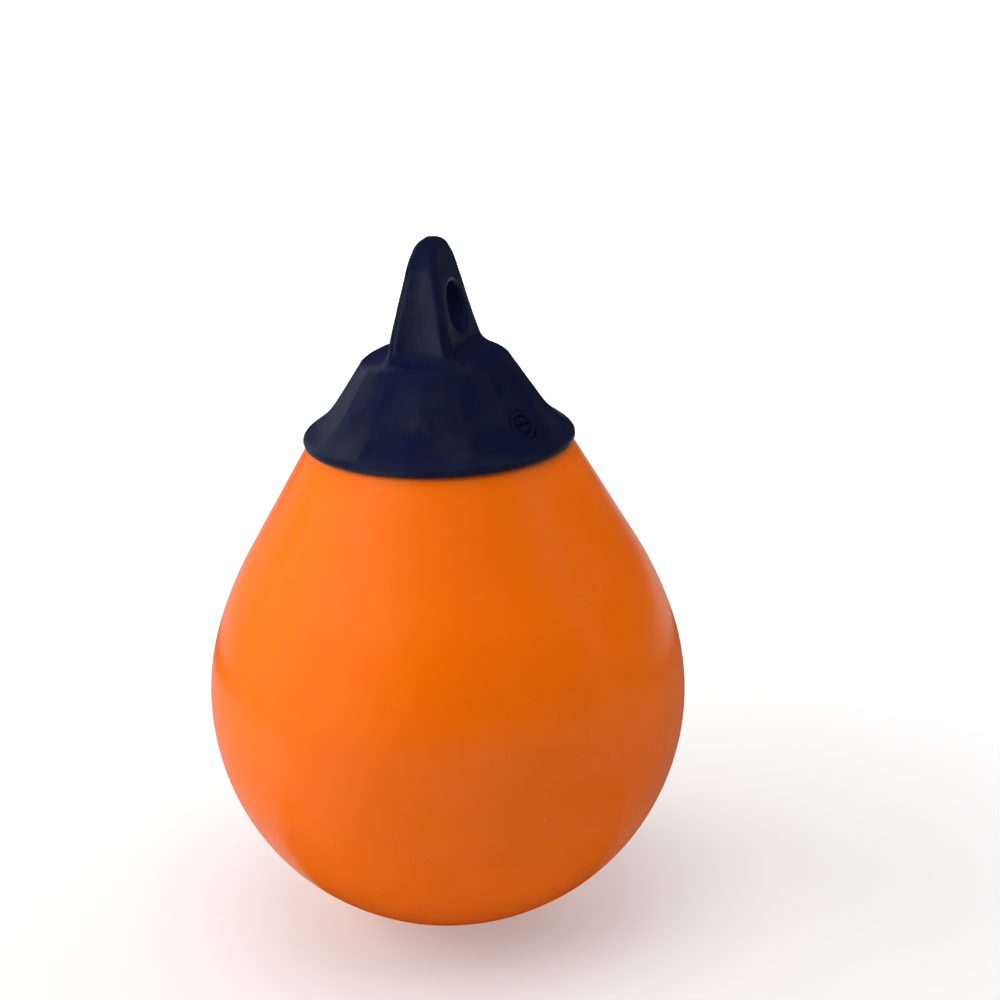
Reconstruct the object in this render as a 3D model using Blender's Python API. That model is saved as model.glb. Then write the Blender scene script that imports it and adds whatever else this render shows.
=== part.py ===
"""Small inflatable teardrop buoy with a moulded rope hold and a screw-down air valve.

The buoy is a thin hollow shell: a sphere that runs into a cone.  A thick cap is
moulded over the narrow end and carries a tapered lug with one rope eye.  On the
cap's skirt sits the air valve: a threaded insert that goes through the cap and
the shell, closed by a slotted screw on a sealing ring.

Frame: the origin is the centre of the rope eye.  +Z is the buoy's axis and
points from the round end to the lug, and +X is the axis of the rope eye.
"""

import math

import bpy
import bmesh
from mathutils import Matrix, Vector

# ------------------------------------------------------------------ dimensions
MM = 0.001

# hollow shell; heights are measured from the centre of the sphere
BODY_RADIUS = 100.0 * MM          # the sphere, and the buoy's largest radius
SPHERE_END = math.radians(17.0)   # latitude where the sphere runs into the shoulder
SHOULDER_RADIUS = 155.0 * MM      # slack curve between sphere and cone
CONE_ANGLE = math.radians(30.3)   # half angle of the cone
RIM_HEIGHT = 109.9 * MM           # the cap's edge
CROWN_HEIGHT = 126.0 * MM         # top of the shell, inside the cap
WALL = 2.5 * MM                   # shell thickness

# cap, from its lip to the top of its shoulder
LIP_EDGE_RADIUS = 54.6 * MM
LIP_UNDER_RADIUS = 1.6 * MM
LIP_RADIUS = 4.5 * MM
LIP_TURN = math.radians(66.0)
FLARE_RADIUS = 20.0 * MM
SKIRT_ANGLE = math.radians(34.0)
SKIRT_TOP = 143.5 * MM
SHOULDER_EDGE_RADIUS = 7.0 * MM
SHOULDER_TURN = math.radians(68.0)
CAP_TOP_RADIUS = 45.0 * MM

# lug, a wedge with a rounded ridge on top and a rope eye through it
EYE_HEIGHT = 165.0 * MM
EYE_RADIUS = 9.5 * MM
LUG_TOP = 192.4 * MM
LUG_ROOT = 138.0 * MM             # buried in the cap
LUG_THICK_TAPER = math.radians(11.5)
LUG_RIDGE_RADIUS = 4.5 * MM
LUG_WIDE_TAPER = math.radians(16.0)
LUG_ARCH_RADIUS = 17.2 * MM
LUG_CORNER_RADIUS = 3.6 * MM

# valve, lengths along its own axis from the skirt's surface, outwards positive
VALVE_BEARING = math.radians(-24.0)
VALVE_HEIGHT = 122.7 * MM
FLANGE_RADIUS = 6.2 * MM
FLANGE_PROUD = 0.3 * MM
FLANGE_SEAT = -1.3 * MM
SHANK_RADIUS = 5.6 * MM
BARB_RADIUS = 6.7 * MM
INSERT_END = -19.3 * MM
BOSS_RADIUS = 9.0 * MM
BOSS_END = -17.0 * MM
RECESS_RADIUS = 4.1 * MM
RECESS_FLOOR = -3.4 * MM
HEAD_RADIUS = 3.65 * MM
HEAD_TOP = 0.1 * MM
HEAD_UNDER = -1.7 * MM
SLOT_WIDTH = 1.1 * MM
SLOT_DEPTH = 1.0 * MM
NECK_RADIUS = 2.3 * MM
THREAD_PITCH = 1.8 * MM
THREAD_CREST = 2.9 * MM           # of the screw; its root is the neck radius
THREAD_PLAY = 0.25 * MM           # radial play between screw and insert
SCREW_THREAD_TURNS = 3.75
SCREW_THREAD_START = -12.4 * MM
INSERT_THREAD_TURNS = 5.25
INSERT_THREAD_START = SCREW_THREAD_START - 1.45 * THREAD_PITCH   # its groove takes the screw's crest
SCREW_SECTION = (0.35, 0.55, 0.80)    # end of the root, start and end of the crest, in pitches
INSERT_SECTION = (0.25, 0.45, 0.80)
SEAL_RADIUS = 3.1 * MM
SEAL_SECTION = 0.55 * MM

GAP = 0.3 * MM                    # between pieces that touch
RING = 48                         # segments round the buoy
SMALL = 24                        # segments round the valve


# --------------------------------------------------------------------- helpers
def clear_scene():
    for obj in list(bpy.data.objects):
        bpy.data.objects.remove(obj, do_unlink=True)
    for store in (bpy.data.meshes, bpy.data.materials):
        for item in list(store):
            store.remove(item)


def normal_at(angle):
    """Outward direction (r, z) of a turned surface whose normal rises by angle."""
    return math.cos(angle), math.sin(angle)


def turn(path, radius, a0, a1, steps):
    """Carry a turned profile on along an arc.

    The surface normal swings from a0 to a1; a rising normal is a convex arc and
    a falling one a hollow arc, and each is tangent to what comes before it.
    """
    side = 1.0 if a1 > a0 else -1.0
    n0 = normal_at(a0)
    centre = (path[-1][0] - side * radius * n0[0], path[-1][1] - side * radius * n0[1])
    for k in range(1, steps + 1):
        n = normal_at(a0 + (a1 - a0) * k / steps)
        path.append((centre[0] + side * radius * n[0], centre[1] + side * radius * n[1]))


def straight(path, end, steps):
    (r0, z0), (r1, z1) = path[-1], end
    for k in range(1, steps + 1):
        f = k / steps
        path.append((r0 + (r1 - r0) * f, z0 + (z1 - z0) * f))


def crown_sphere():
    """Centre height and radius of the crown, which meets the cone at the cap's rim."""
    r, _ = cone_point(RIM_HEIGHT)
    rise = CROWN_HEIGHT - RIM_HEIGHT
    radius = (r * r + rise * rise) / (2.0 * rise)
    return CROWN_HEIGHT - radius, radius


def shoulder_centre():
    cos_s, sin_s = normal_at(SPHERE_END)
    return (BODY_RADIUS - SHOULDER_RADIUS) * cos_s, (BODY_RADIUS - SHOULDER_RADIUS) * sin_s


def cone_point(height):
    """Point of the cone at a height, on the shell's outside."""
    cr, cz = shoulder_centre()
    n = normal_at(CONE_ANGLE)
    r0, z0 = cr + SHOULDER_RADIUS * n[0], cz + SHOULDER_RADIUS * n[1]
    return r0 - (height - z0) * math.tan(CONE_ANGLE), height


def body_profile(inset, sphere_steps, cone_steps, crown_steps):
    """Half section of the shell, inset from its outside, from pole to crown."""
    path = [(0.0, -(BODY_RADIUS - inset))]
    turn(path, BODY_RADIUS - inset, -math.pi / 2, SPHERE_END, sphere_steps)
    turn(path, SHOULDER_RADIUS - inset, SPHERE_END, CONE_ANGLE, 4)
    height, radius = crown_sphere()
    radius -= inset
    # the cone's line goes on until it meets the crown's sphere
    r0, z0 = path[-1]
    dr, dz = -math.sin(CONE_ANGLE), math.cos(CONE_ANGLE)
    b = r0 * dr + (z0 - height) * dz
    c = r0 * r0 + (z0 - height) ** 2 - radius * radius
    reach = -b + math.sqrt(b * b - c)
    straight(path, (r0 + dr * reach, z0 + dz * reach), cone_steps)
    start = math.atan2(path[-1][1] - height, path[-1][0])
    turn(path, radius, start, math.pi / 2, crown_steps)
    path[0] = (0.0, path[0][1])
    path[-1] = (0.0, path[-1][1])
    return path


def cap_profile():
    """Half section of the cap: outside from its lip to its top, then the underside."""
    path = [(LIP_EDGE_RADIUS, RIM_HEIGHT)]
    turn(path, LIP_UNDER_RADIUS, math.radians(-60.0), 0.0, 3)
    turn(path, LIP_RADIUS, 0.0, LIP_TURN, 5)
    turn(path, FLARE_RADIUS, LIP_TURN, SKIRT_ANGLE, 5)
    r, z = path[-1]
    straight(path, (r - (SKIRT_TOP - z) * math.tan(SKIRT_ANGLE), SKIRT_TOP), 2)
    turn(path, SHOULDER_EDGE_RADIUS, SKIRT_ANGLE, SHOULDER_TURN, 4)
    turn(path, CAP_TOP_RADIUS, SHOULDER_TURN, math.pi / 2, 4)
    path.append((0.0, path[-1][1]))
    height, radius = crown_sphere()
    radius += GAP
    end = math.asin((RIM_HEIGHT - height) / radius)
    steps = 8
    for k in range(steps + 1):
        a = math.pi / 2 + (end - math.pi / 2) * k / steps
        path.append((radius * math.cos(a) if k else 0.0, height + radius * math.sin(a)))
    return path


def skin(bm, rings):
    """Walls between rings of equal length; a ring of one vertex is a pole."""
    for low, high in zip(rings, rings[1:]):
        n = max(len(low), len(high))
        for k in range(n):
            m = (k + 1) % n
            if len(low) == 1 and len(high) == 1:
                continue
            if len(low) == 1:
                bm.faces.new((low[0], high[m], high[k]))
            elif len(high) == 1:
                bm.faces.new((low[k], low[m], high[0]))
            else:
                bm.faces.new((low[k], low[m], high[m], high[k]))


def ring_of(bm, radius, z, count):
    if radius < 1e-7:
        return [bm.verts.new((0.0, 0.0, z))]
    return [
        bm.verts.new((radius * math.cos(2 * math.pi * k / count), radius * math.sin(2 * math.pi * k / count), z))
        for k in range(count)
    ]


def finish_mesh(name, bm, sharp=35.0):
    bmesh.ops.recalc_face_normals(bm, faces=bm.faces)
    mesh = bpy.data.meshes.new(name)
    bm.to_mesh(mesh)
    bm.free()
    mesh.shade_smooth()
    mesh.set_sharp_from_angle(angle=math.radians(sharp))
    obj = bpy.data.objects.new(name, mesh)
    bpy.context.collection.objects.link(obj)
    return obj


def turned(name, path, count, closed=False, lift=0.0):
    """Solid of revolution about Z.  A path from pole to pole closes by itself."""
    bm = bmesh.new()
    rings = [ring_of(bm, r, z + lift, count) for r, z in path]
    if closed:
        rings.append(rings[0])
    skin(bm, rings)
    return finish_mesh(name, bm)


def cylinder(name, radius, z0, z1, count):
    return turned(name, [(0.0, z0), (radius, z0), (radius, z1), (0.0, z1)], count)


def as_cutter(obj):
    obj.hide_render = True
    obj.display_type = "WIRE"
    return obj


def boolean(obj, other, operation):
    mod = obj.modifiers.new(operation.lower() + "_" + other.name, "BOOLEAN")
    mod.operation = operation
    mod.solver = "EXACT"
    mod.object = other
    return mod


def material(name, colour, roughness, metallic=0.0):
    mat = bpy.data.materials.new(name)
    mat.use_nodes = True
    bsdf = mat.node_tree.nodes["Principled BSDF"]
    bsdf.inputs["Base Color"].default_value = (*colour, 1.0)
    bsdf.inputs["Roughness"].default_value = roughness
    bsdf.inputs["Metallic"].default_value = metallic
    return mat


# ----------------------------------------------------------------------- valve
def valve_frame():
    """Where the valve's axis meets the skirt, and the axis itself."""
    path = cap_profile()
    n = normal_at(SKIRT_ANGLE)
    # the skirt's straight line, carried to the valve's height
    bottom = [p for p in path if abs(p[1] - SKIRT_TOP) < 1e-9][0]
    r = bottom[0] + (SKIRT_TOP - VALVE_HEIGHT) * math.tan(SKIRT_ANGLE)
    out = Vector((math.cos(VALVE_BEARING), math.sin(VALVE_BEARING), 0.0))
    place = out * r + Vector((0.0, 0.0, VALVE_HEIGHT - EYE_HEIGHT))
    axis = (out * n[0] + Vector((0.0, 0.0, n[1]))).normalized()
    side = Vector((0.0, 0.0, 1.0)).cross(axis).normalized()
    up = axis.cross(side)
    turned_to = Matrix((side, up, axis)).transposed()
    return Matrix.Translation(place) @ turned_to.to_4x4()


def thread(bm, base, crest, shape, start, turns, low_ring, high_ring):
    """Right-hand thread between two rings of the base radius.

    One strip of the thread's section is swept along a helix, a column of four
    corners for every segment, and its two blunt ends are closed.
    """
    count = len(low_ring)
    last = int(round(turns * count))
    section = ((0.0, base), (shape[0], base), (shape[1], crest), (shape[2], crest))

    def corner(j, fraction, radius):
        a = 2 * math.pi * j / count
        z = start + THREAD_PITCH * (j / count + fraction)
        return bm.verts.new((radius * math.cos(a), radius * math.sin(a), z))

    column = [[corner(j, f, r) for f, r in section] for j in range(last + 1)]
    top = {j: corner(j, 1.0, base) for j in range(last - count + 1, last + 1)}
    top[last - count] = column[last][0]

    def fourth(j):
        return column[j + count][0] if j + count <= last else top[j]

    for j in range(last):
        here, there = column[j] + [fourth(j)], column[j + 1] + [fourth(j + 1)]
        for m in range(4):
            bm.faces.new((here[m], there[m], there[m + 1], here[m + 1]))
    # below the first turn
    for j in range(count - 1):
        bm.faces.new((low_ring[j], low_ring[j + 1], column[j + 1][0], column[j][0]))
    apex = column[count - 1][0]
    rim = [low_ring[count - 1], low_ring[0], column[0][0], column[0][1], column[count][0]]
    for a, b in zip(rim, rim[1:]):
        bm.faces.new((apex, a, b))
    bm.faces.new((column[0][1], column[0][2], column[0][3], column[count][0]))
    # above the last turn
    for j in range(last - count + 1, last):
        bm.faces.new((top[j], top[j + 1], high_ring[(j + 1) % count], high_ring[j % count]))
    apex = top[last - count + 1]
    rim = [column[last][0], column[last][1], top[last], high_ring[last % count], high_ring[(last + 1) % count]]
    for a, b in zip(rim, rim[1:]):
        bm.faces.new((apex, a, b))
    bm.faces.new((column[last][1], column[last][2], column[last][3], top[last]))


def make_screw():
    bm = bmesh.new()
    tip = SCREW_THREAD_START - 0.5 * MM
    tail = [(0.0, tip), (NECK_RADIUS - 0.5 * MM, tip), (NECK_RADIUS, SCREW_THREAD_START - 0.1 * MM)]
    bevel = 0.25 * MM
    head = [
        (NECK_RADIUS, SCREW_THREAD_START + (SCREW_THREAD_TURNS + 1.0) * THREAD_PITCH + 0.1 * MM),
        (NECK_RADIUS, HEAD_UNDER),
        (HEAD_RADIUS, HEAD_UNDER),
        (HEAD_RADIUS, HEAD_TOP - bevel),
        (HEAD_RADIUS - bevel, HEAD_TOP),
        (0.0, HEAD_TOP),
    ]
    low = [ring_of(bm, r, z, SMALL) for r, z in tail]
    high = [ring_of(bm, r, z, SMALL) for r, z in head]
    skin(bm, low)
    thread(bm, NECK_RADIUS, THREAD_CREST, SCREW_SECTION, SCREW_THREAD_START, SCREW_THREAD_TURNS, low[-1], high[0])
    skin(bm, high)
    return finish_mesh("valve_screw", bm, 30.0)


def make_slot():
    bm = bmesh.new()
    bmesh.ops.create_cube(bm, size=1.0)
    size = Vector((4.0 * HEAD_RADIUS, SLOT_WIDTH, 2.0 * SLOT_DEPTH))
    for v in bm.verts:
        v.co = Vector((v.co.x * size.x, v.co.y * size.y, v.co.z * size.z + HEAD_TOP))
    return finish_mesh("slot_cutter", bm)


def make_insert():
    bm = bmesh.new()
    base = THREAD_CREST + THREAD_PLAY
    crest = NECK_RADIUS + THREAD_PLAY
    under = FLANGE_SEAT + GAP
    bevel = 0.3 * MM
    outside = [
        (base, INSERT_END),
        (SHANK_RADIUS - 0.4 * MM, INSERT_END),
        (BARB_RADIUS, INSERT_END + 1.4 * MM),
        (BARB_RADIUS, INSERT_END + 1.9 * MM),
        (SHANK_RADIUS, INSERT_END + 1.9 * MM),
        (SHANK_RADIUS, under),
        (FLANGE_RADIUS, under),
        (FLANGE_RADIUS, FLANGE_PROUD - bevel),
        (FLANGE_RADIUS - bevel, FLANGE_PROUD),
        (RECESS_RADIUS + bevel, FLANGE_PROUD),
        (RECESS_RADIUS, FLANGE_PROUD - bevel),
        (RECESS_RADIUS, RECESS_FLOOR),
        (base, RECESS_FLOOR),
    ]
    rings = [ring_of(bm, r, z, SMALL) for r, z in outside]
    skin(bm, rings)
    low = ring_of(bm, base, INSERT_THREAD_START - 0.2 * MM, SMALL)
    skin(bm, [rings[0], low])
    thread(bm, base, crest, INSERT_SECTION, INSERT_THREAD_START, INSERT_THREAD_TURNS, low, rings[-1])
    return finish_mesh("valve_insert", bm, 30.0)


def make_seal():
    bm = bmesh.new()
    centre = RECESS_FLOOR + GAP + SEAL_SECTION
    rings = []
    for k in range(10):
        a = 2 * math.pi * k / 10
        rings.append(ring_of(bm, SEAL_RADIUS + SEAL_SECTION * math.cos(a), centre + SEAL_SECTION * math.sin(a), SMALL))
    rings.append(rings[0])
    skin(bm, rings)
    return finish_mesh("valve_seal", bm, 60.0)


# ------------------------------------------------------------------------- lug
def lug_half_sizes(z):
    """Half thickness (along X) and half width (along Y) of the lug at a height."""
    def wedge(taper, radius):
        centre = LUG_TOP - radius
        tangent = centre + radius * math.sin(taper)
        if z < tangent:
            return radius * math.cos(taper) + (tangent - z) * math.tan(taper)
        return math.sqrt(max(radius * radius - (z - centre) ** 2, 0.0))
    return wedge(LUG_THICK_TAPER, LUG_RIDGE_RADIUS), wedge(LUG_WIDE_TAPER, LUG_ARCH_RADIUS)


def lug_heights():
    ridge = LUG_TOP - LUG_RIDGE_RADIUS
    first = ridge + LUG_RIDGE_RADIUS * math.sin(LUG_THICK_TAPER)
    heights = [LUG_ROOT, 0.150]
    arch = LUG_TOP - LUG_ARCH_RADIUS + LUG_ARCH_RADIUS * math.sin(LUG_WIDE_TAPER)
    steps = 6
    heights += [arch + (first - arch) * k / steps for k in range(steps + 1)]
    start = math.asin((first - ridge) / LUG_RIDGE_RADIUS)
    heights += [ridge + LUG_RIDGE_RADIUS * math.sin(start + (math.radians(84.0) - start) * k / 6) for k in range(1, 7)]
    return heights


def make_lug(name="lug"):
    bm = bmesh.new()
    per = 4
    rings = []
    for z in lug_heights():
        t, w = lug_half_sizes(z)
        c = min(LUG_CORNER_RADIUS, 0.85 * t, 0.85 * w)
        ring = []
        for quarter in range(4):
            sx = 1 if quarter in (0, 3) else -1
            sy = 1 if quarter in (0, 1) else -1
            for k in range(per + 1):
                a = math.pi / 2 * (quarter + k / per)
                ring.append(bm.verts.new((sx * (t - c) + c * math.cos(a), sy * (w - c) + c * math.sin(a), z - EYE_HEIGHT)))
        rings.append(ring)
    skin(bm, rings)
    bm.faces.new(rings[0][::-1])
    bm.faces.new(rings[-1])
    return finish_mesh(name, bm, 40.0)


# ----------------------------------------------------------------------- build
def main():
    clear_scene()
    pvc_orange = material("orange_vinyl", (0.85, 0.16, 0.008), 0.32)
    pvc_navy = material("navy_vinyl", (0.012, 0.016, 0.032), 0.42)
    insert_grey = material("grey_nylon", (0.045, 0.05, 0.07), 0.45)
    screw_black = material("black_nylon", (0.02, 0.022, 0.028), 0.38)
    rubber = material("seal_rubber", (0.012, 0.012, 0.012), 0.6)

    place = valve_frame()
    axis = bpy.data.objects.new("valve_axis", None)
    axis.matrix_world = place
    bpy.context.collection.objects.link(axis)

    def on_axis(obj):
        obj.parent = axis
        return obj

    # shell: outside, less a cavity that leaves the valve's boss, less the valve's bore
    body = turned("body_shell", body_profile(0.0, 17, 2, 4), RING, lift=-EYE_HEIGHT)
    body.data.materials.append(pvc_orange)
    cavity = as_cutter(turned("cavity_cutter", body_profile(WALL, 11, 1, 3), 32, lift=-EYE_HEIGHT))
    boss = on_axis(as_cutter(cylinder("boss_cutter", BOSS_RADIUS, BOSS_END, 20.0 * MM, 24)))
    boolean(cavity, boss, "DIFFERENCE")
    boolean(body, cavity, "DIFFERENCE")
    bore = on_axis(as_cutter(cylinder("bore_cutter", SHANK_RADIUS + GAP, -24.0 * MM, 12.0 * MM, SMALL)))
    boolean(body, bore, "DIFFERENCE")

    # cap with its lug, eye, valve bore and the seat of the valve's flange
    cap = turned("rope_hold", cap_profile(), RING, closed=True, lift=-EYE_HEIGHT)
    cap.data.materials.append(pvc_navy)
    lug = as_cutter(make_lug())
    boolean(cap, lug, "UNION")
    eye = as_cutter(cylinder("eye_cutter", EYE_RADIUS, -30.0 * MM, 30.0 * MM, 32))
    eye.rotation_euler = (0.0, math.pi / 2, 0.0)
    boolean(cap, eye, "DIFFERENCE")
    boolean(cap, bore, "DIFFERENCE")
    seat = on_axis(as_cutter(cylinder("seat_cutter", FLANGE_RADIUS + GAP, FLANGE_SEAT, 12.0 * MM, SMALL)))
    boolean(cap, seat, "DIFFERENCE")

    for maker, mat in ((make_insert, insert_grey), (make_screw, screw_black), (make_seal, rubber)):
        obj = on_axis(maker())
        obj.data.materials.append(mat)
        if maker is make_screw:
            boolean(obj, on_axis(as_cutter(make_slot())), "DIFFERENCE")


main()
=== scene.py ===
import math

import bpy
import bmesh
import numpy as np
from mathutils import Matrix, Vector, noise


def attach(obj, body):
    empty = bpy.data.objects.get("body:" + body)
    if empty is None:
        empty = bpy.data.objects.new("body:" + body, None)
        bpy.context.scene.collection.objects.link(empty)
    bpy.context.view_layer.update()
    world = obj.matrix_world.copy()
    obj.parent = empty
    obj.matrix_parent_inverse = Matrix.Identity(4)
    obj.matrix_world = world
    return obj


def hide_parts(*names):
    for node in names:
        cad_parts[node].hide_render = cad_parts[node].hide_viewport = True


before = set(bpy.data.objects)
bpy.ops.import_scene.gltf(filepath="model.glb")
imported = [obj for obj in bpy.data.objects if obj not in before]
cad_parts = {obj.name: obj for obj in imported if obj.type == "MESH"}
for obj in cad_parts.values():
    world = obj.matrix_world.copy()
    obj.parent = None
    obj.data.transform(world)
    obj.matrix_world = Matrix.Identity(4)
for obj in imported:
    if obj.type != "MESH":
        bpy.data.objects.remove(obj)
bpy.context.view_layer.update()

MM = 0.001


# ------------------------------------------------------------------ dimensions
# The same driving sizes as the CAD model's, in millimetres.  Heights are from
# the centre of the sphere; LIFT brings them to the frame, whose origin is the eye.
R_BODY, R_SHOULDER = 100.0, 155.0
SPHERE_END, CONE = math.radians(17.0), math.radians(30.3)
RIM, CROWN, WALL, GAP = 109.9, 126.0, 2.5, 0.3
LIFT = -165.0
LUG_TOP, LUG_ROOT, EYE_R = 192.9, 138.0, 9.5
TAPER_T, RIDGE_R = math.radians(12.6), 5.0
TAPER_W, ARCH_R, CORNER_R = math.radians(13.3), 15.6, 4.0
SKIRT, SKIRT_TOP = math.radians(34.0), 143.5
VALVE_BEARING, VALVE_Z = math.radians(-24.0), 122.7
FLANGE_R, FLANGE_SEAT, SHANK_R = 6.2, -1.3, 5.6
LEAN, HOLLOW = (-0.85, -0.28), 1.3
FLATS, FLAT_EDGE = 14, -12.0


def direction(a):
    return math.cos(a), math.sin(a)


def turn(path, radius, a0, a1, steps):
    side = 1.0 if a1 > a0 else -1.0
    n0 = direction(a0)
    c = (path[-1][0] - side * radius * n0[0], path[-1][1] - side * radius * n0[1])
    for k in range(1, steps + 1):
        n = direction(a0 + (a1 - a0) * k / steps)
        path.append((c[0] + side * radius * n[0], c[1] + side * radius * n[1]))


def straight(path, end, steps):
    (r0, z0), (r1, z1) = path[-1], end
    for k in range(1, steps + 1):
        path.append((r0 + (r1 - r0) * k / steps, z0 + (z1 - z0) * k / steps))


def cone_radius(z):
    c, s = direction(SPHERE_END)
    n = direction(CONE)
    r0 = (R_BODY - R_SHOULDER) * c + R_SHOULDER * n[0]
    z0 = (R_BODY - R_SHOULDER) * s + R_SHOULDER * n[1]
    return r0 - (z - z0) * math.tan(CONE)


def crown_sphere():
    r, rise = cone_radius(RIM), CROWN - RIM
    radius = (r * r + rise * rise) / (2 * rise)
    return CROWN - radius, radius


def body_profile(inset, ns, nh, nc, nt):
    path = [(0.0, -(R_BODY - inset))]
    turn(path, R_BODY - inset, -math.pi / 2, SPHERE_END, ns)
    turn(path, R_SHOULDER - inset, SPHERE_END, CONE, nh)
    height, radius = crown_sphere()
    radius -= inset
    r0, z0 = path[-1]
    dr, dz = -math.sin(CONE), math.cos(CONE)
    b = r0 * dr + (z0 - height) * dz
    c = r0 * r0 + (z0 - height) ** 2 - radius * radius
    reach = -b + math.sqrt(b * b - c)
    straight(path, (r0 + dr * reach, z0 + dz * reach), nc)
    a = math.atan2(path[-1][1] - height, path[-1][0])
    turn(path, radius, a, math.pi / 2, nt)
    path[0], path[-1] = (0.0, path[0][1]), (0.0, path[-1][1])
    return path


def cap_outside(fine):
    path = [(53.8, RIM - 0.2)]
    turn(path, 1.6, math.radians(-90), 0.0, 4 * fine)
    turn(path, 3.5, 0.0, math.radians(55), 4 * fine)
    turn(path, 50.0, math.radians(55), SKIRT, 8 * fine)
    r, z = path[-1]
    straight(path, (r - (SKIRT_TOP - z) * math.tan(SKIRT), SKIRT_TOP), 2 * fine)
    turn(path, 7.0, SKIRT, math.radians(68), 4 * fine)
    turn(path, 45.0, math.radians(68), math.pi / 2, 4 * fine)
    path.append((0.0, path[-1][1]))
    return path


def cap_underside(steps):
    height, radius = crown_sphere()
    radius += GAP
    end = math.asin((RIM - height) / radius)
    out = []
    for k in range(steps + 1):
        a = math.pi / 2 + (end - math.pi / 2) * k / steps
        out.append((radius * math.cos(a) if k else 0.0, height + radius * math.sin(a)))
    return out


# ---------------------------------------------------------------- mesh helpers
def new_object(name, bm, sharp=None):
    bmesh.ops.recalc_face_normals(bm, faces=bm.faces)
    mesh = bpy.data.meshes.new(name)
    bm.to_mesh(mesh)
    bm.free()
    mesh.shade_smooth()
    if sharp:
        mesh.set_sharp_from_angle(angle=math.radians(sharp))
    obj = bpy.data.objects.new(name, mesh)
    bpy.context.scene.collection.objects.link(obj)
    return obj


def ring_of(bm, r, z, count):
    """One ring, r and z in millimetres; a pole is a single vertex."""
    if r < 1e-6:
        return [bm.verts.new((0.0, 0.0, z * MM))]
    return [bm.verts.new((r * MM * math.cos(2 * math.pi * k / count), r * MM * math.sin(2 * math.pi * k / count), z * MM)) for k in range(count)]


def skin(bm, rings):
    for low, high in zip(rings, rings[1:]):
        n = max(len(low), len(high))
        for k in range(n):
            m = (k + 1) % n
            if len(low) == 1:
                bm.faces.new((low[0], high[m], high[k]))
            elif len(high) == 1:
                bm.faces.new((low[k], low[m], high[0]))
            else:
                bm.faces.new((low[k], low[m], high[m], high[k]))


def turned(name, path, count, closed=False, lift=0.0, sharp=None):
    bm = bmesh.new()
    rings = [ring_of(bm, r, z + lift, count) for r, z in path]
    if closed:
        rings.append(rings[0])
    for low, high in zip(rings, rings[1:]):
        if len(low) > 1 or len(high) > 1:
            skin(bm, [low, high])
    return new_object(name, bm, sharp)


def cylinder(name, radius, z0, z1, count):
    return turned(name, [(0.0, z0), (radius, z0), (radius, z1), (0.0, z1)], count)


def apply_boolean(obj, other, operation, remove=True):
    mod = obj.modifiers.new("bool", "BOOLEAN")
    mod.operation, mod.solver, mod.object = operation, "EXACT", other
    bake_modifiers(obj)
    if remove:
        bpy.data.objects.remove(other, do_unlink=True)


def bake_modifiers(obj):
    bpy.context.view_layer.update()
    deps = bpy.context.evaluated_depsgraph_get()
    mesh = bpy.data.meshes.new_from_object(obj.evaluated_get(deps), depsgraph=deps)
    old = obj.data
    obj.modifiers.clear()
    obj.data = mesh
    bpy.data.meshes.remove(old)


def coords(obj):
    co = np.empty(len(obj.data.vertices) * 3, np.float64)
    obj.data.vertices.foreach_get("co", co)
    return co.reshape(-1, 3)


def set_coords(obj, co):
    obj.data.vertices.foreach_set("co", np.ascontiguousarray(co, np.float32).ravel())
    obj.data.update()


# ----------------------------------------------------------------- valve frame
def valve_matrix():
    n = direction(SKIRT)
    path = cap_outside(1)
    base = [p for p in path if abs(p[1] - SKIRT_TOP) < 1e-9][0]
    r = base[0] + (SKIRT_TOP - VALVE_Z) * math.tan(SKIRT)
    out = Vector((math.cos(VALVE_BEARING), math.sin(VALVE_BEARING), 0.0))
    place = (out * r + Vector((0, 0, VALVE_Z + LIFT))) * MM
    axis = (out * n[0] + Vector((0, 0, n[1]))).normalized()
    side = Vector((0, 0, 1)).cross(axis).normalized()
    up = axis.cross(side)
    return Matrix.Translation(place) @ Matrix((side, up, axis)).transposed().to_4x4()


VALVE = valve_matrix()


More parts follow.
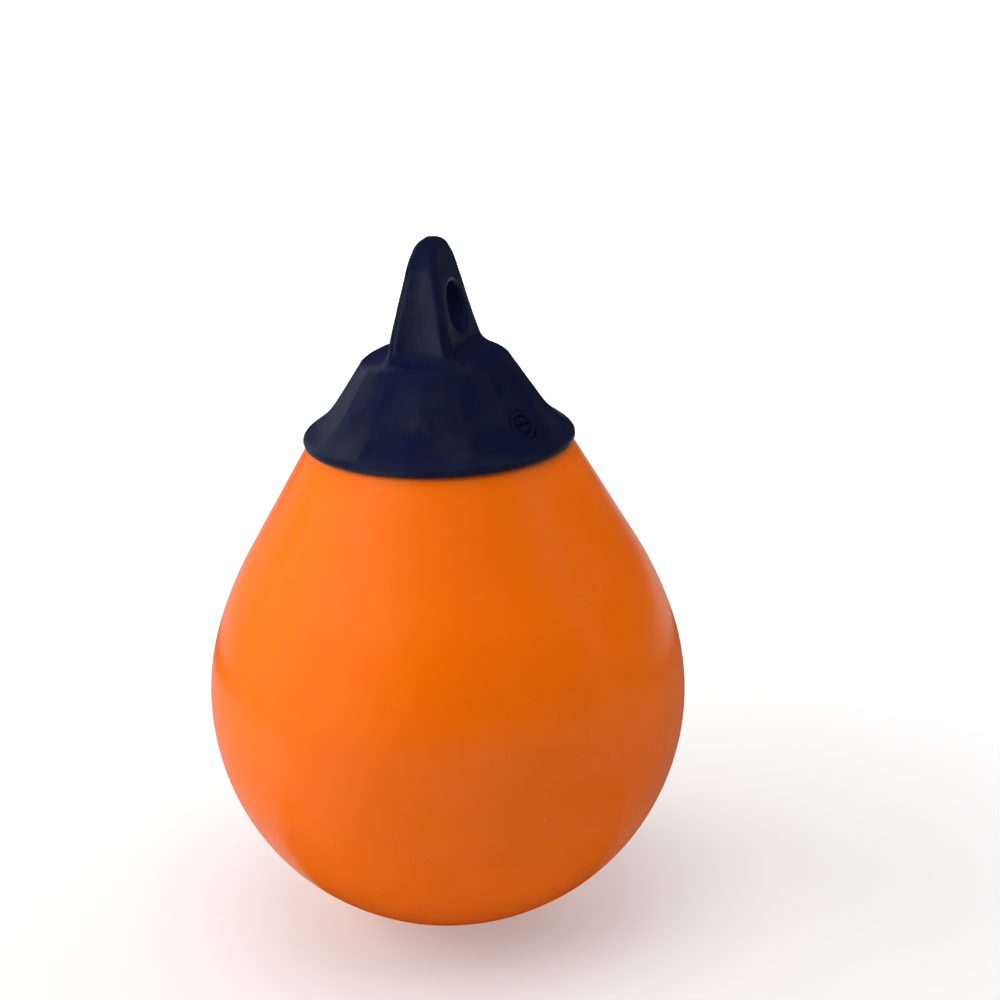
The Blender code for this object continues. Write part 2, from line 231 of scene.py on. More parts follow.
# -------------------------------------------------------------- the vinyl shell
def make_shell():
    """The inflated shell: a fine turned skin with the slackness of soft vinyl, hollow and bored for the valve."""
    count = 224
    obj = turned("shell_vinyl", body_profile(0.0, 96, 18, 26, 16), count, lift=LIFT)
    co = coords(obj) / MM
    z = co[:, 2] - LIFT
    centre = np.stack([np.zeros_like(z), np.zeros_like(z), np.clip(z, None, 30.0) * 0 + LIFT], -1)
    n = co - centre
    n /= np.maximum(np.linalg.norm(n, axis=1, keepdims=True), 1e-9)
    amount = np.array([
        0.16 * noise.noise(Vector(p) / 46.0 + Vector((3.1, 7.7, 1.3)))
        + 0.05 * noise.noise(Vector(p) / 15.0 + Vector((9.2, 0.4, 5.5)))
        for p in co
    ])
    # shallow dents and creases of a soft shell that has been handled
    a = math.radians(18.0)
    for bearing, height, wide, tall, lean, depth in DENTS:
        b = a + math.radians(bearing)
        d = np.array([math.sin(b), -math.cos(b), 0.0])
        side = np.array([math.cos(b), math.sin(b), 0.0])
        u = co @ side
        v = z - height
        f = (co @ d) > 0
        uu = u * math.cos(lean) + v * math.sin(lean)
        vv = -u * math.sin(lean) + v * math.cos(lean)
        amount -= f * depth * np.exp(-(uu / wide) ** 2 - (vv / tall) ** 2)
    fade = np.clip((RIM - 2.0 - z) / 8.0, 0.0, 1.0)
    co = co + n * (amount * fade)[:, None]
    set_coords(obj, co * MM)

    cavity = turned("cavity", body_profile(WALL, 40, 6, 6, 8), 96, lift=LIFT)
    boss = cylinder("boss", 9.0, -17.0, 20.0, 64)
    boss.data.transform(VALVE)
    apply_boolean(cavity, boss, "DIFFERENCE")
    apply_boolean(obj, cavity, "DIFFERENCE")
    bore = cylinder("bore", SHANK_R + GAP, -24.0, 12.0, 64)
    bore.data.transform(VALVE)
    apply_boolean(obj, bore, "DIFFERENCE")
    obj.data.shade_smooth()
    obj.data.set_sharp_from_angle(angle=math.radians(35))
    return obj


# bearing from the camera's side in degrees, height in mm, half widths, lean, depth in mm
DENTS = (
    (-43.0, -38.0, 5.0, 7.0, 0.3, 0.30),
    (-15.0, -55.0, 3.0, 9.0, -0.6, 0.30),
    (-22.0, 62.0, 5.0, 16.0, 0.5, 0.22),
    (38.0, 40.0, 6.0, 34.0, -0.35, 0.20),
)


# -------------------------------------------------------- the moulded rope hold
def polygon_distance(path, r, z, closed_by_axis=True):
    """Signed distance from points (r, z) to a half section whose last side lies on the axis."""
    P = np.array(path)
    A, B = P[:-1], P[1:]
    best = np.full(r.shape, 1e9)
    for a, b in zip(A, B):
        d = b - a
        L = d @ d
        if L < 1e-12:
            continue
        if a[0] < 1e-9 and b[0] < 1e-9:
            continue
        t = np.clip(((r - a[0]) * d[0] + (z - a[1]) * d[1]) / L, 0, 1)
        best = np.minimum(best, (r - a[0] - t * d[0]) ** 2 + (z - a[1] - t * d[1]) ** 2)
    inside = np.zeros(r.shape, bool)
    n = len(P)
    for i in range(n):
        a, b = P[i], P[(i + 1) % n]
        if a[1] == b[1]:
            continue
        cross = (a[1] > z) != (b[1] > z)
        x = a[0] + (z - a[1]) * (b[0] - a[0]) / (b[1] - a[1])
        inside ^= cross & (r < x)
    d = np.sqrt(best)
    return np.where(inside, -d, d)


def wedge_distance(x, z, top, radius, taper):
    """Signed distance to a wedge with a round top, in one plane."""
    x = np.abs(x)
    c = top - radius
    dx, dz = x, z - c
    ca, sa = math.cos(taper), math.sin(taper)
    side = dx * ca + dz * sa - radius
    cap = np.hypot(dx, dz) - radius
    above = dz * ca > dx * sa
    return np.where(above, cap, side)


def half_width(z, top, radius, taper):
    """Half the width of that wedge at one height."""
    dz = z - (top - radius)
    if dz > radius * math.sin(taper):
        return math.sqrt(max(radius * radius - dz * dz, 0.0))
    return (radius - dz * math.sin(taper)) / math.cos(taper)


def round_union(a, b, f):
    u = np.maximum(f - a, 0.0)
    v = np.maximum(f - b, 0.0)
    return np.maximum(f, np.minimum(a, b)) - np.hypot(u, v)


def round_cut(a, b, f):
    """Body a with b cut away, its new edge rounded by f."""
    b = -b
    u = np.maximum(f + a, 0.0)
    v = np.maximum(f + b, 0.0)
    return np.minimum(-f, np.maximum(a, b)) + np.hypot(u, v)


CAP_SECTION = cap_outside(3) + cap_underside(14)[0:]


def lug_distance(p):
    """The lug: a wedge each way with rounded corners, which sharpen as the ridge thins; it leans by LEAN."""
    up = np.clip((p[:, 2] - LUG_ROOT) / 20.0, 0.0, 1.0)
    x, y, z = p[:, 0] - LEAN[0] * up, p[:, 1] - LEAN[1] * up, p[:, 2]
    dx = wedge_distance(x, z, LUG_TOP, RIDGE_R, TAPER_T)
    dy = wedge_distance(y, z, LUG_TOP, ARCH_R, TAPER_W)
    half = -wedge_distance(np.zeros_like(z), z, LUG_TOP, RIDGE_R, TAPER_T)
    # the narrow ends are a little hollow between their rounded corners
    grow = np.clip((half - 3.5) / 6.5, 0.0, 1.0)
    dy = dy + HOLLOW * grow * grow * (3.0 - 2.0 * grow) * np.clip(1.0 - (x / np.maximum(half - 0.5, 1.0)) ** 2, 0.0, 1.0)
    c = np.maximum(CORNER_R * 1.1 * (1.0 - np.exp(-np.maximum(half, 0.0) / 5.0)), 0.3)
    u, v = np.maximum(dx + c, 0.0), np.maximum(dy + c, 0.0)
    d = np.minimum(np.maximum(dx + c, dy + c), 0.0) + np.hypot(u, v) - c
    return np.maximum(d, LUG_ROOT - z)


def hold_distance(p):
    """Signed distance to the cap with its lug and eye, p in millimetres above the sphere's centre."""
    r = np.hypot(p[:, 0], p[:, 1])
    cap = polygon_distance(CAP_SECTION, r, p[:, 2])
    d = round_union(cap, lug_distance(p), 2.8)
    # the fillet must not fill the hollow under the cap
    height, radius = crown_sphere()
    under = radius + GAP - np.sqrt(r * r + (p[:, 2] - height) ** 2)
    d = np.maximum(d, under)
    eye = np.hypot(p[:, 1], p[:, 2] + LIFT) - EYE_R
    return round_cut(d, eye, 2.2)


def make_hold():
    section = cap_outside(2) + cap_underside(12)
    obj = turned("rope_hold_vinyl", section, 128, closed=True)
    bm = bmesh.new()
    rings = []
    zs = [LUG_ROOT + (LUG_TOP - 6.0 - LUG_ROOT) * k / 30 for k in range(31)]
    zs += [LUG_TOP - 6.0 * (1.0 - k / 16) ** 2 - 0.05 for k in range(1, 17)]
    for z in zs:
        t = max(half_width(z, LUG_TOP, RIDGE_R, TAPER_T), 0.3)
        w = max(half_width(z, LUG_TOP, ARCH_R, TAPER_W), 0.3)
        rings.append([bm.verts.new((t * MM * sx, w * MM * sy, z * MM)) for sx, sy in ((1, 1), (-1, 1), (-1, -1), (1, -1))])
    skin(bm, rings)
    bm.faces.new(rings[0][::-1])
    bm.faces.new(rings[-1])
    lug = new_object("lug_blank", bm)
    apply_boolean(obj, lug, "UNION")
    eye = cylinder("eye", EYE_R, -30.0, 30.0, 64)
    eye.data.transform(Matrix.Translation((0, 0, -LIFT * MM)) @ Matrix.Rotation(math.pi / 2, 4, "Y"))
    apply_boolean(obj, eye, "DIFFERENCE")

    mod = obj.modifiers.new("remesh", "REMESH")
    mod.mode = "VOXEL"
    mod.voxel_size = 0.66 * MM
    mod.adaptivity = 0.0
    bake_modifiers(obj)

    p = coords(obj) / MM
    h = 0.02
    for _ in range(9):
        d = hold_distance(p)
        g = np.stack([
            hold_distance(p + np.array([h, 0, 0])) - hold_distance(p - np.array([h, 0, 0])),
            hold_distance(p + np.array([0, h, 0])) - hold_distance(p - np.array([0, h, 0])),
            hold_distance(p + np.array([0, 0, h])) - hold_distance(p - np.array([0, 0, h])),
        ], -1) / (2 * h)
        length = np.linalg.norm(g, axis=1)
        step = d / np.maximum(length, 0.3)
        p = p - (np.clip(step, -0.5, 0.5) / np.maximum(length, 0.3))[:, None] * g
    p[:, 2] += LIFT

    # cast skin: faint flats down the skirt and the unevenness of the mould
    z = p[:, 2] - LIFT
    ang = np.degrees(np.arctan2(p[:, 0], -p[:, 1])) - 18.0
    r = np.hypot(p[:, 0], p[:, 1])
    skirt = np.clip((z - 112.0) / 6.0, 0, 1) * np.clip((146.0 - z) / 8.0, 0, 1)
    outer = (hold_side(p) > 0).astype(float)
    # flats left by the mould, with an edge between each pair
    step = 360.0 / FLATS
    off = np.radians((ang - FLAT_EDGE) % step - step / 2)
    flats = -0.55 * r * (1.0 - math.cos(math.radians(step / 2)) / np.cos(off))
    away = np.linalg.norm(p - np.array(VALVE.translation) / MM, axis=1)
    flats = flats * np.clip((away - 7.0) / 6.0, 0.0, 1.0)
    rough = np.array([
        0.10 * noise.noise(Vector(q) / 9.0) + 0.05 * noise.noise(Vector(q) / 3.5 + Vector((4, 4, 4))) for q in p
    ])
    # a small pulled wrinkle on the skirt's left
    wr_b, wr_z = -25.0, 121.5
    wrinkle = 0.25 * np.exp(-((ang - wr_b) / 8.0) ** 2 - ((z - wr_z - 0.03 * (ang - wr_b)) / 0.9) ** 2)
    # the shoulder sits a little lower on the left
    side = np.exp(-((((ang + 95.0 + 180.0) % 360.0) - 180.0) / 45.0) ** 2)
    sag = -1.3 * side * np.clip((z - 142.5) / 3.0, 0.0, 1.0) * np.clip((r - 19.0) / 7.0, 0.0, 1.0) * (z < 152.0)
    n = gradient(p)
    p = p + n * ((flats * skirt + rough + wrinkle * skirt + sag) * outer)[:, None]
    set_coords(obj, p * MM)

    for name, radius, z0 in (("bore", SHANK_R + GAP, -12.0), ("seat", FLANGE_R + GAP, FLANGE_SEAT)):
        cut = cylinder(name, radius, z0, 12.0, 96)
        cut.data.transform(VALVE)
        apply_boolean(obj, cut, "DIFFERENCE")
    obj.data.shade_smooth()
    obj.data.set_sharp_from_angle(angle=math.radians(50))
    return obj


def hold_side(p):
    """Positive on the outside of the cap, negative on its underside, p in frame millimetres."""
    height, radius = crown_sphere()
    z = p[:, 2] - LIFT
    rr = np.sqrt(p[:, 0] ** 2 + p[:, 1] ** 2 + (z - height) ** 2)
    return rr - (radius + GAP + 0.8)


def gradient(p, h=0.05):
    q = p.copy()
    q[:, 2] -= LIFT
    g = np.stack([hold_distance(q + np.array(e) * h) - hold_distance(q - np.array(e) * h) for e in ((1, 0, 0), (0, 1, 0), (0, 0, 1))], -1)
    return g / np.maximum(np.linalg.norm(g, axis=1, keepdims=True), 1e-9)


# ------------------------------------------------------------------- the valve
PITCH, NECK, CREST, PLAY = 1.8, 2.3, 2.9, 0.25


def thread(bm, base, crest, shape, start, turns, low_ring, high_ring):
    """Right-hand thread between two rings of the base radius, with blunt ends."""
    count = len(low_ring)
    last = int(round(turns * count))
    section = ((0.0, base), (shape[0], base), (shape[1], crest), (shape[2], crest))

    def corner(j, fraction, radius):
        a = 2 * math.pi * j / count
        return bm.verts.new((radius * MM * math.cos(a), radius * MM * math.sin(a), (start + PITCH * (j / count + fraction)) * MM))

    column = [[corner(j, f, r) for f, r in section] for j in range(last + 1)]
    top = {j: corner(j, 1.0, base) for j in range(last - count + 1, last + 1)}
    top[last - count] = column[last][0]

    def fourth(j):
        return column[j + count][0] if j + count <= last else top[j]

    for j in range(last):
        here, there = column[j] + [fourth(j)], column[j + 1] + [fourth(j + 1)]
        for m in range(4):
            bm.faces.new((here[m], there[m], there[m + 1], here[m + 1]))
    for j in range(count - 1):
        bm.faces.new((low_ring[j], low_ring[j + 1], column[j + 1][0], column[j][0]))
    apex = column[count - 1][0]
    rim = [low_ring[count - 1], low_ring[0], column[0][0], column[0][1], column[count][0]]
    for a, b in zip(rim, rim[1:]):
        bm.faces.new((apex, a, b))
    bm.faces.new((column[0][1], column[0][2], column[0][3], column[count][0]))
    for j in range(last - count + 1, last):
        bm.faces.new((top[j], top[j + 1], high_ring[(j + 1) % count], high_ring[j % count]))
    apex = top[last - count + 1]
    rim = [column[last][0], column[last][1], top[last], high_ring[last % count], high_ring[(last + 1) % count]]
    for a, b in zip(rim, rim[1:]):
        bm.faces.new((apex, a, b))
    bm.faces.new((column[last][1], column[last][2], column[last][3], top[last]))


def rounded(points, radius, steps=4):
    """A half section with its inner corners rounded; the first and last points stay."""
    out = [points[0]]
    for a, b, c in zip(points, points[1:], points[2:]):
        ab, cb = (a[0] - b[0], a[1] - b[1]), (c[0] - b[0], c[1] - b[1])
        la, lc = math.hypot(*ab), math.hypot(*cb)
        k = min(radius, 0.45 * la, 0.45 * lc)
        p0 = (b[0] + ab[0] / la * k, b[1] + ab[1] / la * k)
        p2 = (b[0] + cb[0] / lc * k, b[1] + cb[1] / lc * k)
        for i in range(steps + 1):
            t = i / steps
            out.append(tuple((1 - t) ** 2 * p0[j] + 2 * t * (1 - t) * b[j] + t * t * p2[j] for j in (0, 1)))
    out.append(points[-1])
    return out


def make_screw():
    count, start, turns = 64, -12.4, 3.75
    bm = bmesh.new()
    tip = start - 0.5
    low = [ring_of(bm, r, z, count) for r, z in [(0.0, tip)] + rounded([(0.3, tip), (NECK - 0.5, tip), (NECK, start - 0.1)], 0.3, 2)]
    head = rounded([(NECK, start + (turns + 1.0) * PITCH + 0.1), (NECK, -1.7), (3.65, -1.7), (3.65, 0.1), (0.4, 0.1)], 0.35, 4) + [(0.0, 0.1)]
    high = [ring_of(bm, r, z, count) for r, z in head]
    skin(bm, low)
    thread(bm, NECK, CREST, (0.35, 0.55, 0.80), start, turns, low[-1], high[0])
    skin(bm, high)
    obj = new_object("valve_screw_nylon", bm, 30)
    # the screwdriver slot, with its mouth eased
    bm = bmesh.new()
    w, d = 0.55, 1.0
    outline = [(-w, -d), (w, -d), (w, -0.18), (w + 0.14, 0.0), (w + 0.14, 1.0), (-w - 0.14, 1.0), (-w - 0.14, 0.0), (-w, -0.18)]
    ends = [[bm.verts.new((x * MM, y * MM, (z + 0.1) * MM)) for y, z in outline] for x in (-6.0, 6.0)]
    for k in range(len(outline)):
        m = (k + 1) % len(outline)
        bm.faces.new((ends[0][k], ends[0][m], ends[1][m], ends[1][k]))
    bm.faces.new(ends[0][::-1])
    bm.faces.new(ends[1])
    slot = new_object("slot", bm)
    apply_boolean(obj, slot, "DIFFERENCE")
    obj.data.shade_smooth()
    obj.data.set_sharp_from_angle(angle=math.radians(30))
    obj.data.transform(VALVE)
    return obj


def make_insert():
    count = 96
    bm = bmesh.new()
    base, crest = CREST + PLAY, NECK + PLAY
    start, turns = -12.4 - 1.45 * PITCH, 5.25
    under, proud, end = FLANGE_SEAT + GAP, 0.3, -19.3
    outside = rounded([
        (base, end), (SHANK_R - 0.4, end), (6.7, end + 1.4), (6.7, end + 1.9), (SHANK_R, end + 1.9),
        (SHANK_R, under), (FLANGE_R, under), (FLANGE_R, proud), (4.1, proud), (4.1, -3.4), (base, -3.4),
    ], 0.35, 4)
    rings = [ring_of(bm, r, z, count) for r, z in outside]
    skin(bm, rings)
    low = ring_of(bm, base, start - 0.2, count)
    skin(bm, [rings[0], low])
    thread(bm, base, crest, (0.25, 0.45, 0.80), start, turns, low, rings[-1])
    obj = new_object("valve_insert_nylon", bm, 30)
    obj.data.transform(VALVE)
    return obj


def make_seal():
    bm = bmesh.new()
    centre, ring_r, tube = -3.4 + GAP + 0.55, 3.1, 0.55
    rings = [ring_of(bm, ring_r + tube * math.cos(2 * math.pi * k / 24), centre + tube * math.sin(2 * math.pi * k / 24), 96) for k in range(24)]
    rings.append(rings[0])
    skin(bm, rings)
    obj = new_object("valve_seal_ring", bm)
    obj.data.transform(VALVE)
    return obj


# ------------------------------------------------------------------- materials
class Nodes:
    """Short calls for building a node material."""

    def __init__(self, name):
        self.mat = bpy.data.materials.new(name)
        self.mat.use_nodes = True
        self.tree = self.mat.node_tree
        self.bsdf = self.tree.nodes["Principled BSDF"]
        self.coord = self.tree.nodes.new("ShaderNodeTexCoord").outputs["Object"]

    def link(self, a, b):
        self.tree.links.new(a, b)

    def mapped(self, scale=(1, 1, 1), rot=(0, 0, 0)):
        n = self.tree.nodes.new("ShaderNodeMapping")
        n.inputs["Scale"].default_value = scale
        n.inputs["Rotation"].default_value = rot
        self.link(self.coord, n.inputs["Vector"])
        return n.outputs["Vector"]

    def noise(self, scale, detail=3.0, rough=0.5, vector=None, distortion=0.0):
        n = self.tree.nodes.new("ShaderNodeTexNoise")
        n.inputs["Scale"].default_value = scale
        n.inputs["Detail"].default_value = detail
        n.inputs["Roughness"].default_value = rough
        n.inputs["Distortion"].default_value = distortion
        self.link(vector or self.coord, n.inputs["Vector"])
        return n.outputs["Fac"]

    def voronoi(self, scale, feature="F1", vector=None):
        n = self.tree.nodes.new("ShaderNodeTexVoronoi")
        n.feature = feature
        n.inputs["Scale"].default_value = scale
        self.link(vector or self.coord, n.inputs["Vector"])
        return n.outputs["Distance"]

    def range(self, value, a, b, c, d):
        n = self.tree.nodes.new("ShaderNodeMapRange")
        n.interpolation_type = "SMOOTHSTEP"
        for k, v in zip(("From Min", "From Max", "To Min", "To Max"), (a, b, c, d)):
            n.inputs[k].default_value = v
        self.link(value, n.inputs["Value"])
        return n.outputs["Result"]

    def math(self, op, a, b):
        n = self.tree.nodes.new("ShaderNodeMath")
        n.operation = op
        for k, v in enumerate((a, b)):
            if isinstance(v, (int, float)):
                n.inputs[k].default_value = v
            else:
                self.link(v, n.inputs[k])
        return n.outputs[0]

    def mix(self, fac, a, b):
        n = self.tree.nodes.new("ShaderNodeMix")
        n.data_type = "RGBA"
        for sock, v in ((n.inputs[0], fac), (n.inputs[6], a), (n.inputs[7], b)):
            if isinstance(v, (int, float)):
                sock.default_value = v
            elif isinstance(v, tuple):
                sock.default_value = (*v, 1.0)
            else:
                self.link(v, sock)
        return n.outputs[2]

    def bump(self, height, distance, strength=1.0, after=None):
        n = self.tree.nodes.new("ShaderNodeBump")
        n.inputs["Strength"].default_value = strength
        n.inputs["Distance"].default_value = distance
        self.link(height, n.inputs["Height"])
        if after is not None:
            self.link(after, n.inputs["Normal"])
        return n.outputs["Normal"]

    def set(self, **values):
        for key, v in values.items():
            sock = self.bsdf.inputs[key.replace("_", " ")]
            if isinstance(v, (int, float)):
                sock.default_value = v
            elif isinstance(v, tuple):
                sock.default_value = (*v, 1.0) if len(v) == 3 and sock.type == "RGBA" else v
            else:
                self.link(v, sock)
        return self


def orange_vinyl():
    m = Nodes("orange_vinyl")
    cloud = m.noise(14.0, 2.0)
    speck = m.noise(1800.0, 2.0, 0.6)
    scuff_lines = m.noise(160.0, 4.0, 0.65, vector=m.mapped((1.0, 1.0, 0.12), (0.5, 0.3, 0.0)))
    scuffs = m.range(scuff_lines, 0.70, 0.78, 0.0, 1.0)
    colour = m.mix(m.range(cloud, 0.35, 0.65, 0.0, 1.0), (0.90, 0.148, 0.0004), (0.95, 0.158, 0.0006))
    colour = m.mix(m.math("MULTIPLY", scuffs, 0.04), colour, (0.95, 0.30, 0.10))
    rough = m.range(m.noise(55.0, 3.0), 0.3, 0.7, 0.20, 0.28)
    rough = m.math("ADD", rough, m.math("MULTIPLY", scuffs, 0.04))
    peel = m.noise(420.0, 2.0, 0.5)
    height = m.math("ADD", m.math("MULTIPLY", peel, 0.7), m.math("MULTIPLY", speck, 0.3))
    m.set(Base_Color=colour, Roughness=rough, IOR=1.5, Specular_IOR_Level=0.30, Normal=m.bump(height, 0.00003, 0.5))
    m.set(Subsurface_Weight=0.06, Subsurface_Scale=0.004, Subsurface_Radius=(1.0, 0.25, 0.05))
    return m.mat


def navy_vinyl():
    """Dark navy cast vinyl with a dusty mottle all round, rubbed a little along the lip."""
    m = Nodes("navy_vinyl")
    blotch = m.noise(60.0, 5.0, 0.62, distortion=0.6)
    patch = m.noise(34.0, 5.0, 0.66, vector=m.mapped((1.0, 1.0, 0.8), (0.3, 0.1, 0.6)), distortion=0.5)
    grain = m.noise(1500.0, 3.0, 0.6)
    flow = m.noise(95.0, 4.0, 0.6, vector=m.mapped((1.0, 1.0, 0.25)))
    streak = m.noise(260.0, 5.0, 0.7, vector=m.mapped((1.0, 1.0, 0.35), (0.2, 0.5, 0.3)))
    sep = m.tree.nodes.new("ShaderNodeSeparateXYZ")
    m.link(m.coord, sep.inputs[0])
    lip = m.range(sep.outputs["Z"], -0.0525, -0.0475, 1.0, 0.0)

    colour = m.mix(m.range(blotch, 0.38, 0.68, 0.0, 1.0), (0.0012, 0.0040, 0.028), (0.0024, 0.0058, 0.031))
    dust = m.math("MULTIPLY", m.range(patch, 0.46, 0.64, 0.0, 1.0), m.range(streak, 0.36, 0.62, 0.3, 1.0))
    dust = m.math("MAXIMUM", m.math("MULTIPLY", dust, 0.55), m.math("MULTIPLY", m.math("MULTIPLY", lip, streak), 0.45))
    colour = m.mix(dust, colour, (0.0150, 0.0135, 0.0220))

    rough = m.range(blotch, 0.3, 0.7, 0.29, 0.41)
    rough = m.math("ADD", rough, m.math("MULTIPLY", dust, 0.16))
    height = m.math("ADD", m.math("MULTIPLY", flow, 0.6), m.math("ADD", m.math("MULTIPLY", streak, 0.3), m.math("MULTIPLY", grain, 0.1)))
    m.set(Base_Color=colour, Roughness=rough, IOR=1.5, Specular_IOR_Level=0.62, Specular_Tint=(0.88, 0.98, 1.0))
    m.set(Normal=m.bump(height, 0.00045, 0.8))
    return m.mat


def nylon(name, base, other, rough):
    m = Nodes(name)
    grain = m.noise(2600.0, 3.0, 0.6)
    cloud = m.noise(300.0, 3.0)
    m.set(
        Base_Color=m.mix(m.range(cloud, 0.3, 0.7, 0.0, 1.0), base, other),
        Roughness=m.range(grain, 0.3, 0.7, rough - 0.06, rough + 0.06),
        Specular_IOR_Level=0.30,
        Normal=m.bump(grain, 0.00004, 0.5),
    )
    return m.mat


def seal_rubber():
    m = Nodes("seal_rubber")
    grain = m.noise(3200.0, 2.0, 0.6)
    m.set(
        Base_Color=m.mix(grain, (0.008, 0.008, 0.008), (0.016, 0.016, 0.015)),
        Roughness=m.range(grain, 0.3, 0.7, 0.55, 0.7),
        Normal=m.bump(grain, 0.00003, 0.5),
    )
    return m.mat


# ---------------------------------------------------------------------- camera
AZ = math.radians(18.0)
CAM_D, CAM_H = 0.8, 0.34895
CAM_PITCH, CAM_YAW, CAM_ROLL, CAM_F = 0.321746, 0.029955, 0.027308, 2.044314
TURN = Matrix.Rotation(AZ, 4, "Z")


def facing(x, y, z):
    """A point given as seen from the camera's side: x right, y away, z up from the sphere's centre, in metres."""
    return TURN @ Vector((x, y, z + LIFT * MM))


def make_camera():
    fwd = Vector((math.sin(CAM_YAW) * math.cos(CAM_PITCH), math.cos(CAM_YAW) * math.cos(CAM_PITCH), -math.sin(CAM_PITCH)))
    right = Vector((math.cos(CAM_YAW), -math.sin(CAM_YAW), 0.0))
    up = right.cross(fwd)
    c, s = math.cos(CAM_ROLL), math.sin(CAM_ROLL)
    new_right, new_up = right * c - up * s, right * s + up * c
    basis = Matrix((new_right, new_up, -fwd)).transposed().to_4x4()
    cam = bpy.data.objects.new("camera", bpy.data.cameras.new("camera"))
    cam.data.sensor_width = 36.0
    cam.data.lens = CAM_F * 36.0
    cam.data.clip_start, cam.data.clip_end = 0.01, 50.0
    cam.matrix_world = TURN @ Matrix.Translation((0.0, -CAM_D, CAM_H + LIFT * MM)) @ basis
    bpy.context.scene.collection.objects.link(cam)
    bpy.context.scene.camera = cam


def panel(name, az, el, dist, size, level, diffuse=True, glossy=True, colour=(1.0, 1.0, 1.0)):
    """A soft box facing the object: az to the right of the camera and el above the horizon, in degrees; level is its brightness."""
    a, e = math.radians(az), math.radians(el)
    target = facing(0, 0, 0.03)
    place = target + TURN @ (Vector((math.sin(a) * math.cos(e), -math.cos(a) * math.cos(e), math.sin(e))) * dist)
    data = bpy.data.lights.new(name, "AREA")
    data.shape = "RECTANGLE"
    data.size, data.size_y = size
    data.energy = math.pi * size[0] * size[1] * level
    data.color = colour
    obj = bpy.data.objects.new(name, data)
    obj.location = place
    obj.rotation_euler = (target - place).to_track_quat("-Z", "Y").to_euler()
    obj.visible_camera = False
    obj.visible_diffuse = diffuse
    obj.visible_glossy = glossy
    bpy.context.scene.collection.objects.link(obj)
    return obj


def floor_card(name, az, reach, size, level):
    """A bright card lying beside the object, seen only in its gloss."""
    a = math.radians(az)
    obj = panel(name, az, 0.0, 1.0, size, level, diffuse=False)
    obj.location = facing(math.sin(a) * reach, -math.cos(a) * reach, -R_BODY * MM + 0.002)
    obj.rotation_euler = (math.pi, 0.0, -a + AZ)
    return obj


# name, az, el, distance, size, brightness on the surfaces, brightness in the gloss
PANELS = (
    ("left", -90, 23, 2.0, (2.1, 2.1), 2.8, 0.80),
    ("left_back", -135, 25, 2.0, (1.0, 2.1), 0.0, 0.36),
    ("front_left", -45, 38, 2.0, (1.1, 1.0), 2.0, 0.28),
    ("front_left_low", -48, 5, 2.0, (0.9, 1.0), 0.0, 0.62),
    ("top", 0, 80, 2.0, (1.6, 1.6), 3.2, 0.32),
    ("front_top", 10, 50, 2.0, (1.4, 0.7), 0.5, 0.05),
    ("right_high", 100, 38, 2.0, (2.0, 1.0), 1.35, 0.0),
    ("back", 172, 25, 2.2, (3.0, 1.8), 1.85, 0.12),
    ("strip", 78, 20, 1.5, (0.16, 1.4), 0.0, 0.36),
)
# name, az, distance from the axis, size, brightness in the gloss
CARDS = (
    ("card_left", -110, 0.30, (0.36, 0.50), 0.42),
    ("card_right", 110, 0.30, (0.36, 0.50), 0.14),
    ("card_front_left", -60, 0.36, (0.30, 0.30), 0.38),
    ("card_back", 180, 0.85, (2.6, 0.9), 0.45),
)


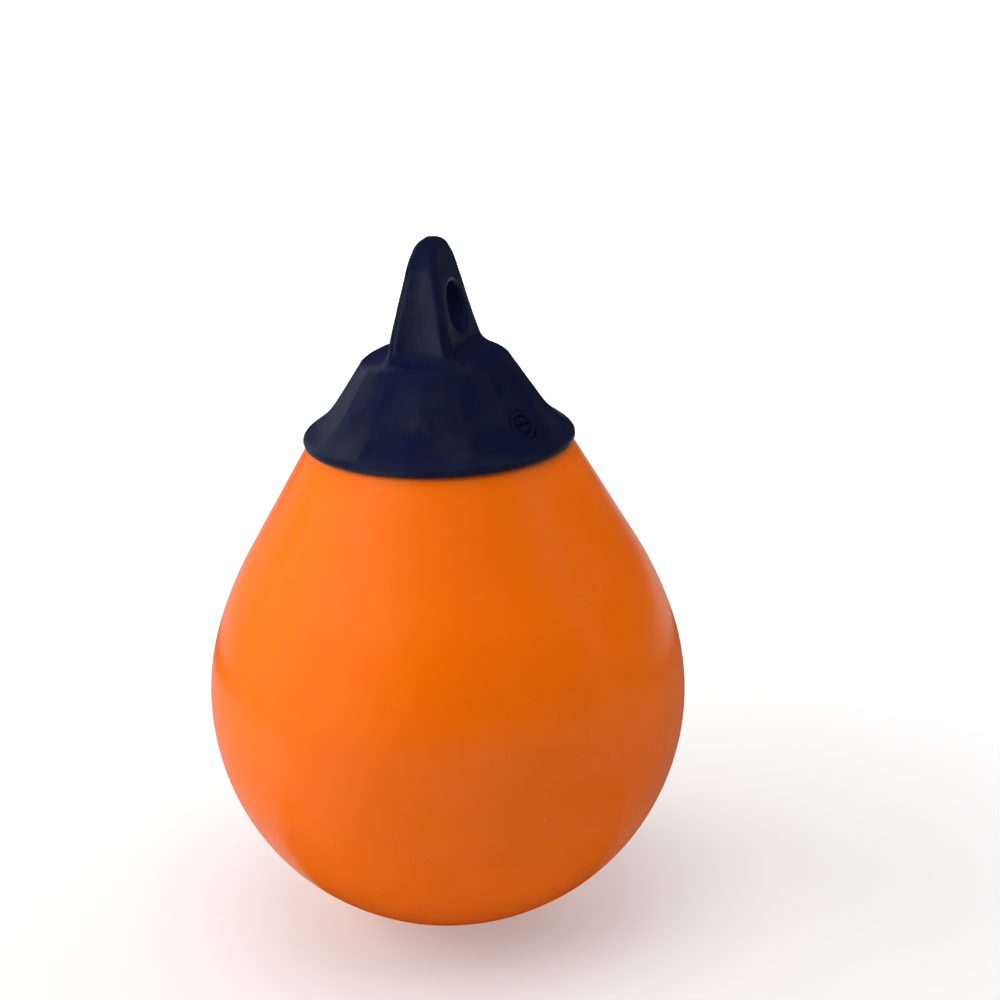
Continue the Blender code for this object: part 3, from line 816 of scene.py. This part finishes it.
def make_stage():
    floor_z = (-R_BODY + LIFT) * MM - 0.0003
    m = Nodes("pale_floor")
    m.set(Base_Color=m.mix(m.noise(3.0, 2.0), (0.52, 0.52, 0.52), (0.55, 0.55, 0.55)), Roughness=0.9)
    length = m.tree.nodes.new("ShaderNodeVectorMath")
    length.operation = "LENGTH"
    m.link(m.coord, length.inputs[0])
    m.bsdf.inputs["Emission Color"].default_value = (1.0, 1.0, 1.0, 1.0)
    m.link(m.range(length.outputs["Value"], 0.0, 1.4, 0.32, 1.0), m.bsdf.inputs["Emission Strength"])
    # a round floor that sweeps up into a wall all round
    section = [(1.6, 0.0), (3.0, 0.0), (5.0, 0.0)]
    for k in range(1, 13):
        a = math.pi / 2 * k / 12
        section.append((5.0 + 1.5 * math.sin(a), 1.5 * (1 - math.cos(a))))
    section.append((6.5, 5.0))
    for name, profile in (("floor", [(0.0, 0.0), (0.8, 0.0), (1.6, 0.0)]), ("wall", section)):
        bm = bmesh.new()
        skin(bm, [ring_of(bm, r / MM, z / MM, 64) for r, z in profile])
        obj = new_object(name, bm)
        obj.location.z = floor_z
        obj.data.materials.append(m.mat)
        obj.visible_glossy = False
        obj.visible_diffuse = name == "floor"

    for name, az, el, dist, size, matt, gloss in PANELS:
        if matt > 0.0:
            panel(name, az, el, dist, size, matt, glossy=False)
        if gloss > 0.0:
            panel(name + "_gloss", az, el, dist, size, gloss, diffuse=False)
    for card in CARDS:
        floor_card(*card)

    world = bpy.data.worlds.new("studio")
    world.use_nodes = True
    bg = world.node_tree.nodes["Background"]
    bg.inputs["Color"].default_value = (0.95, 0.97, 1.0, 1.0)
    bg.inputs["Strength"].default_value = 0.02
    bpy.context.scene.world = world
    view = bpy.context.scene.view_settings
    view.view_transform = "Standard"
    view.look = "None"
    view.exposure, view.gamma = 0.0, 1.0


# ----------------------------------------------------------------------- build
def add(obj, mat, body, node):
    obj.data.materials.clear()
    obj.data.materials.append(mat)
    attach(obj, body)
    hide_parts(node)


make_camera()
make_stage()
add(make_shell(), orange_vinyl(), "float", "body_shell")
add(make_hold(), navy_vinyl(), "float", "rope_hold")
add(make_insert(), nylon("valve_nylon", (0.0020, 0.0048, 0.027), (0.0030, 0.0060, 0.028), 0.44), "float", "valve_insert")
add(make_screw(), nylon("screw_nylon", (0.0018, 0.0042, 0.024), (0.0028, 0.0054, 0.025), 0.40), "valve_plug", "valve_screw")
add(make_seal(), seal_rubber(), "valve_ring", "valve_seal")
